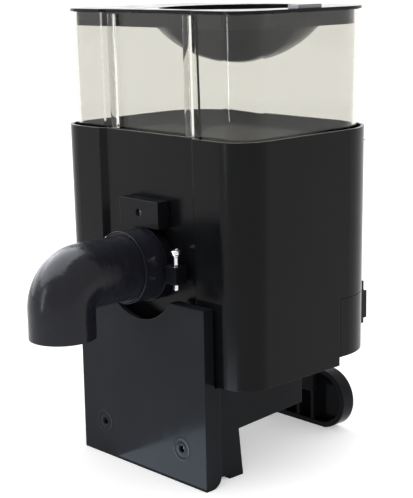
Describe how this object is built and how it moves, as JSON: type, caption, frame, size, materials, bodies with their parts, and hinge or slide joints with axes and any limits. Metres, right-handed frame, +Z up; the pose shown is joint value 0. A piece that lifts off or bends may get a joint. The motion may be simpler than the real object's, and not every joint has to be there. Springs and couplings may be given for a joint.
{
  "type": "automatic pet feeder",
  "caption": "Automatic dry-food feeder with a clear hopper, lift-off lid, star-wheel drive, turning elbow chute and a front-plate stand.",
  "frame": {"origin": "centre of the bounding box at floor level", "axes": "+Z up, front faces -Y, +X is the right side seen from the front"},
  "size_m": [0.205, 0.2712, 0.3472],
  "materials": {
    "body_plastic": "glossy black moulding",
    "clear_plastic": "clear, polished",
    "lid_plastic": "glossy black",
    "catch_plastic": "grey, satin",
    "inner_plastic": "matt dark grey",
    "wheel_nylon": "natural nylon",
    "gear_nylon": "natural nylon",
    "brass": "turned",
    "shaft_steel": "ground",
    "motor_case": "plated",
    "fitting_plastic": "satin black",
    "screw_steel": "plated",
    "pipe_plastic": "glossy black pipe",
    "pin_chrome": "polished",
    "inlet_plastic": "satin black",
    "stand_plastic": "satin black"
  },
  "bodies": {
    "housing": {"body_shell": "body_plastic", "rear_cover": "body_plastic", "bottom_cover": "body_plastic", "hopper": "clear_plastic", "hopper_funnel": "body_plastic", "drum_housing": "inner_plastic", "rotor_bush_left": "brass", "rotor_bush_right": "brass", "motor_bracket": "inner_plastic", "gear_motor": "motor_case", "adjuster_block": "fitting_plastic", "outlet_ring": "fitting_plastic", "chute_flange": "fitting_plastic", "chute_hub": "pipe_plastic", "power_inlet": "inlet_plastic", "stand_front_plate": "stand_plastic", "stand_web_left": "stand_plastic", "stand_web_right": "stand_plastic", "stand_rear_foot": "stand_plastic", "stand_rear_bracket": "stand_plastic", "bottom_screws": "screw_steel", "rear_cover_screws": "screw_steel", "bracket_screws": "screw_steel", "motor_screws": "screw_steel"},
    "lid_set": {"lid": "lid_plastic", "lid_catch": "catch_plastic"},
    "star_wheel": {"rotor": "wheel_nylon", "rotor_shaft": "shaft_steel", "drive_gear": "gear_nylon"},
    "motor_drive": {"pinion": "gear_nylon", "motor_shaft": "shaft_steel"},
    "gate": {"feed_gate": "inner_plastic"},
    "clamp_screw": {"adjuster_screw": "screw_steel"},
    "elbow": {"chute_elbow": "pipe_plastic"},
    "pin_left": {"chute_pin_left": "pin_chrome"},
    "pin_right": {"chute_pin_right": "pin_chrome"}
  },
  "joints": [
    {"name": "lid_lift", "type": "slide", "parent": "housing", "child": "lid_set", "axis": [0, 0, 1], "range_m": [0, 0.06]},
    {"name": "star_wheel_spin", "type": "hinge", "parent": "housing", "child": "star_wheel", "pos_m": [0, 0.0156, 0.194], "axis": [1, 0, 0], "continuous": true},
    {"name": "motor_spin", "type": "hinge", "parent": "housing", "child": "motor_drive", "pos_m": [0.038, 0.0481, 0.194], "axis": [1, 0, 0], "continuous": true},
    {"name": "gate_slide", "type": "slide", "parent": "housing", "child": "gate", "axis": [0, 0, 1], "range_m": [-0.021, 0]},
    {"name": "clamp_turn", "type": "hinge", "parent": "housing", "child": "clamp_screw", "pos_m": [0, -0.0334, 0.198], "axis": [0, -1, 0], "range_deg": [0, 360]},
    {"name": "elbow_turn", "type": "hinge", "parent": "housing", "child": "elbow", "pos_m": [0, -0.0644, 0.1595], "axis": [0, -1, 0], "range_deg": [-60, 60]},
    {"name": "pin_left_lift", "type": "slide", "parent": "housing", "child": "pin_left", "axis": [0, 0, 1], "range_m": [0, 0.03]},
    {"name": "pin_right_lift", "type": "slide", "parent": "housing", "child": "pin_right", "axis": [0, 0, 1], "range_m": [0, 0.03]}
  ],
  "couplings": [
    {"joint": "motor_spin", "follows": "star_wheel_spin", "ratio": -3.3333}
  ]
}
